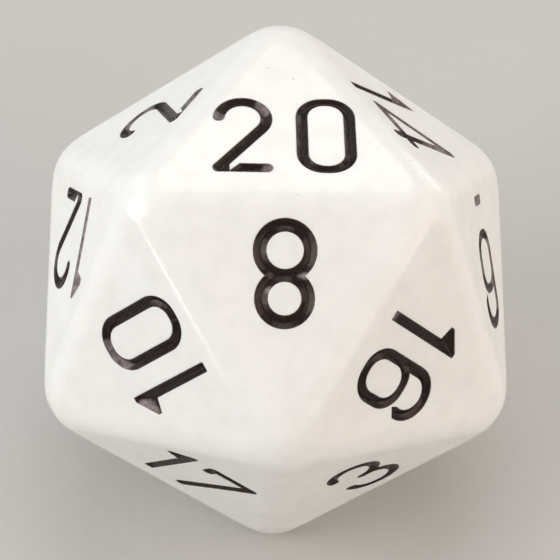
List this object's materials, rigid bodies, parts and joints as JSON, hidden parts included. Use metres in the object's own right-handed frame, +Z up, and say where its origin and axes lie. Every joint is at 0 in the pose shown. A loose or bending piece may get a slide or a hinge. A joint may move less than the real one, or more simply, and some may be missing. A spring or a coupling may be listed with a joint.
{
  "type": "polyhedral die",
  "caption": "Icosahedral die with rounded edges and corners and a paint-filled engraved number on each flat triangular face, rolled to pick a number in tabletop games.",
  "frame": {"origin": "middle of the bottom face, which carries the number 1 and which the die stands on", "axes": "+Z up, out of the face that carries 20; -Y towards the side where the edge between 20 and 8 lies"},
  "size_m": [0.0212, 0.0238, 0.02],
  "materials": {
    "die_plastic": "opaque off-white moulded plastic, tumble-polished to a soft gloss, with slight handling wear",
    "numeral_paint": "black paint with a semi-gloss surface, brushed into the engraving and wiped off the face"
  },
  "bodies": {
    "root": {"die_body": "die_plastic", "paint_fill_10_tens": "numeral_paint", "paint_fill_10_units": "numeral_paint", "paint_fill_11_tens": "numeral_paint", "paint_fill_11_units": "numeral_paint", "paint_fill_12_tens": "numeral_paint", "paint_fill_12_units": "numeral_paint", "paint_fill_13_tens": "numeral_paint", "paint_fill_13_units": "numeral_paint", "paint_fill_14_tens": "numeral_paint", "paint_fill_14_units": "numeral_paint", "paint_fill_15_tens": "numeral_paint", "paint_fill_15_units": "numeral_paint", "paint_fill_16_tens": "numeral_paint", "paint_fill_16_units": "numeral_paint", "paint_fill_17_tens": "numeral_paint", "paint_fill_17_units": "numeral_paint", "paint_fill_18_tens": "numeral_paint", "paint_fill_18_units": "numeral_paint", "paint_fill_19_tens": "numeral_paint", "paint_fill_19_units": "numeral_paint", "paint_fill_1_units": "numeral_paint", "paint_fill_20_tens": "numeral_paint", "paint_fill_20_units": "numeral_paint", "paint_fill_2_units": "numeral_paint", "paint_fill_3_units": "numeral_paint", "paint_fill_4_units": "numeral_paint", "paint_fill_5_units": "numeral_paint", "paint_fill_6_bar": "numeral_paint", "paint_fill_6_units": "numeral_paint", "paint_fill_7_units": "numeral_paint", "paint_fill_8_units": "numeral_paint", "paint_fill_9_bar": "numeral_paint", "paint_fill_9_units": "numeral_paint"}
  },
  "joints": []
}
